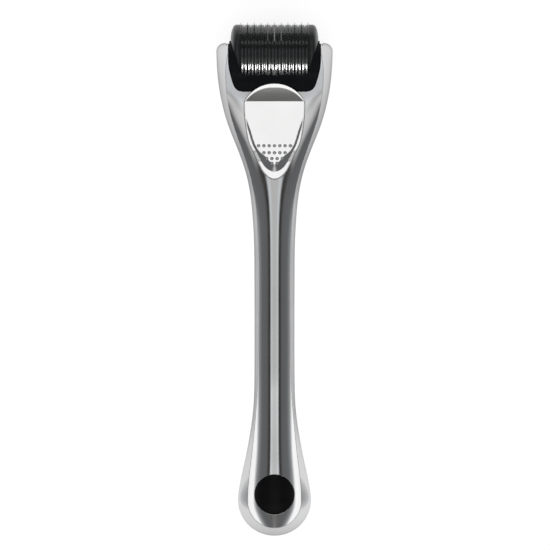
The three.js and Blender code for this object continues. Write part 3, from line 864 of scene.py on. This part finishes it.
cover_plating = plated("cover_plating", (0.85, 0.85, 0.85), (0.9, 0.9, 0.9), (0.07, 0.13), 0.5)
# The rear shell's plating is given a darker colour than the front cover's: painted shade that greys
# the handle's side bands and back.
shell_plating = plated("painted_shade_plating", (0.6, 0.6, 0.605), (0.66, 0.66, 0.665), (0.07, 0.13), 0.35)
shield_plating = plated("bright_plating", (0.86, 0.86, 0.86), (0.92, 0.92, 0.92), (0.05, 0.09), 0.8)
badge_black = black_plastic(
    "badge_black", (0.006, 0.006, 0.007), (0.009, 0.009, 0.01), (0.3, 0.4), 3000, 2e-6)
cradle_black = black_plastic(
    "cradle_black", (0.006, 0.008, 0.01), (0.01, 0.012, 0.014), (0.5, 0.62), 4000, 3e-6)
for flat_black in (badge_black, cradle_black):
    flat_black.node_tree.nodes["Principled BSDF"].inputs["Specular IOR Level"].default_value = 0.12
cap_black = black_plastic(
    "cap_black", (0.018, 0.02, 0.021), (0.028, 0.03, 0.031), (0.3, 0.4), 3500, 4e-6)
ring_black = black_plastic(
    "ring_black", (0.014, 0.016, 0.017), (0.022, 0.024, 0.025), (0.16, 0.22), 3000, 1e-6, 0.3)
disc_steel = steel("needle_steel")


def dress(thing, material, body, slot, *nodes):
    """Gives a piece its material and its body, and hides the CAD nodes that it stands in for. The
    slot is not used.
    """
    thing.data.materials.clear()
    thing.data.materials.append(material)
    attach(thing, body)
    if nodes:
        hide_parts(*nodes)


dress(rear_shell, shell_plating, "handle", "plated_shell", "rear_shell")
dress(front_shell, cover_plating, "handle", "plated_shell", "front_shell")
dress(shield_plate, shield_plating, "handle", "plated_shield", "thumb_shield")
dress(dots, shield_plating, "handle", "plated_shield")
dress(badge, badge_black, "handle", "badge", "badge")
dress(cradle, cradle_black, "handle", "cradle", "head_cradle")
for i, spacer in enumerate(spacers):
    dress(spacer, ring_black, "drum", "spacer", f"spacer_{i + 1:02d}")
for i, disc in enumerate(discs):
    dress(disc, disc_steel, "drum", "needle_steel", f"needle_disc_{i + 1:02d}")
dress(caps[0], cap_black, "drum", "end_cap", "end_cap_left")
dress(caps[1], cap_black, "drum", "end_cap", "end_cap_right")
for node, material in (("axle", disc_steel), ("drum_core", cap_black)):
    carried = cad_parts[node]
    carried.data.materials.clear()
    carried.data.materials.append(material)


# Studio
SOFT_LIGHT = 0.4  # even light that falls on the floor and on matt surfaces
FLOOR_GLOW = 0.72  # light that the floor gives off itself, like a lit sweep


def make_floor():
    size, z = 3.0, -0.0003
    corners = [(-size, -size, z), (size, -size, z), (size, size, z), (-size, size, z)]
    mesh = bpy.data.meshes.new("floor")
    mesh.from_pydata(corners, [], [(0, 1, 2, 3)])
    floor = bpy.data.objects.new("floor", mesh)
    bpy.context.scene.collection.objects.link(floor)
    nodes = Nodes("floor_white")
    nodes.shader.inputs["Base Color"].default_value = (0.8, 0.8, 0.8, 1)
    nodes.shader.inputs["Roughness"].default_value = 0.9
    nodes.shader.inputs["Specular IOR Level"].default_value = 0.1
    nodes.shader.inputs["Emission Color"].default_value = (1, 1, 1, 1)
    nodes.shader.inputs["Emission Strength"].default_value = FLOOR_GLOW
    mesh.materials.append(nodes.material)


class World:
    """Soft panels round the object, given by the angle across the handle and the one along it."""

    def __init__(self):
        self.world = bpy.data.worlds.new("studio")
        bpy.context.scene.world = self.world
        self.world.use_nodes = True
        self.tree = self.world.node_tree
        place = self.tree.nodes.new("ShaderNodeTexCoord")
        split = self.tree.nodes.new("ShaderNodeSeparateXYZ")
        self.link(place.outputs["Generated"], split.inputs["Vector"])
        side = self.math("ABSOLUTE", split.outputs["X"])
        self.across = self.math("DIVIDE", self.math("ARCTAN2", side, split.outputs["Z"]), math.pi)
        along = self.math("ARCTAN2", split.outputs["Y"], split.outputs["Z"])
        self.along = self.math("ADD", self.math("DIVIDE", along, 2 * math.pi), 0.5)

    def link(self, start, end):
        self.tree.links.new(start, end)

    def math(self, operation, *values):
        node = self.tree.nodes.new("ShaderNodeMath")
        node.operation = operation
        for socket, value in zip(node.inputs, values):
            if isinstance(value, (int, float)):
                socket.default_value = value
            else:
                self.link(value, socket)
        return node.outputs[0]

    def ramp(self, place, stops):
        """Brightness at each angle; stops are (position from 0 to 1, brightness or colour)."""
        node = self.tree.nodes.new("ShaderNodeValToRGB")
        elements = node.color_ramp.elements
        while len(elements) < len(stops):
            elements.new(0.5)
        for element, (position, value) in zip(elements, stops):
            element.position = position
            element.color = (*value, 1) if isinstance(value, tuple) else (value, value, value, 1)
        self.link(place, node.inputs["Fac"])
        return node.outputs["Color"]

    def mix(self, kind, a, b):
        node = self.tree.nodes.new("ShaderNodeMix")
        node.data_type, node.blend_type = "RGBA", kind
        node.inputs["Factor"].default_value = 1
        self.link(a, node.inputs["A"])
        self.link(b, node.inputs["B"])
        return node.outputs["Result"]

    def finish(self, colour):
        """The object is lit by the panels; a camera that looks past it sees plain pale paper."""
        path = self.tree.nodes.new("ShaderNodeLightPath")
        for ray, value in (("Is Diffuse Ray", SOFT_LIGHT), ("Is Camera Ray", 1.0)):
            plain = self.tree.nodes.new("ShaderNodeMix")
            plain.data_type = "RGBA"
            plain.inputs["B"].default_value = (value, value, value, 1)
            self.link(path.outputs[ray], plain.inputs["Factor"])
            self.link(colour, plain.inputs["A"])
            colour = plain.outputs["Result"]
        self.link(colour, self.tree.nodes["Background"].inputs["Color"])


def make_world():
    world = World()
    dark, cool = (0.039, 0.037, 0.035), (0.13, 0.135, 0.14)
    bluish = (0.7, 0.73, 0.76)
    # by the angle across, in degrees from overhead
    sides = [
        (20, dark), (26, dark), (34, (0.113, 0.113, 0.117)), (62, cool), (78, (0.27, 0.28, 0.29)),
        (93, 1.0), (180, 1.0),
    ]
    overhead = [(0, 0.58), (9, 0.58), (12, bluish), (16.5, bluish), (20.5, 0.0), (180, 0.0)]
    # by the angle along, in degrees, positive towards the drum
    window = [(-24, 0.0), (-18, 0.74), (1, 0.76), (3, 1.0), (17, 0.85), (22, 0.0)]
    cards = [
        (-90, 0.2), (-60, 0.13), (-44, 0.1), (-39, 0.95), (-25, 0.95), (-16, 0.0), (30, 0.0),
        (32.5, 0.09), (35.5, 0.12), (37.8, 0.4), (40, 1.05), (49, 1.05), (52, 0.04), (90, 0.04),
    ]
    # how far the cards reach to the sides
    reach = [(0, 1.0), (8, 1.0), (16, 0.72), (28, 0.55), (38, 0.0), (180, 0.0)]
    sides, overhead, reach = [
        world.ramp(world.across, [(a / 180, value) for a, value in stops])
        for stops in (sides, overhead, reach)
    ]
    window, cards = [
        world.ramp(world.along, [(b / 360 + 0.5, value) for b, value in stops])
        for stops in (window, cards)
    ]
    strip = world.mix("MULTIPLY", overhead, window)
    far = world.mix("MULTIPLY", reach, cards)
    world.finish(world.mix("ADD", world.mix("ADD", sides, strip), far))


def make_light(name, angle, reach, size, power, lit):
    """A softbox tilted away from overhead, towards the bulb, that puts a gleam on the drum."""
    data = bpy.data.lights.new(name, "AREA")
    data.shape = "RECTANGLE"
    data.size, data.size_y = size
    data.energy = power
    light = bpy.data.objects.new(name, data)
    away, up = reach * math.sin(angle), reach * math.cos(angle)
    light.location = (0, HEAD_Y * MM - away, AXIS_Z * MM + up)
    light.rotation_euler = (angle, 0, 0)
    light.visible_diffuse = False
    light.visible_camera = False
    light.light_linking.receiver_collection = lit
    light.light_linking.blocker_collection = lit
    bpy.context.scene.collection.objects.link(light)


def make_camera():
    """Straight above the front, with a long lens."""
    distance, frame_width, sensor = 1.4, 0.1518, 36.0
    data = bpy.data.cameras.new("camera")
    data.sensor_width = sensor
    data.lens = sensor * distance / frame_width
    camera = bpy.data.objects.new("camera", data)
    camera.location = (0.00014, 0.0012, AXIS_Z * MM + distance)
    bpy.context.scene.collection.objects.link(camera)
    bpy.context.scene.camera = camera


make_floor()
make_world()
gleaming = bpy.data.collections.new("gleaming")
for piece in spacers:
    gleaming.objects.link(piece)
make_light("key", math.radians(59), 0.3, (0.09, 0.15), 2.2, gleaming)
make_light("low", math.radians(85), 0.3, (0.09, 0.02), 0.2, gleaming)
make_camera()
bpy.context.scene.view_settings.view_transform = "Standard"
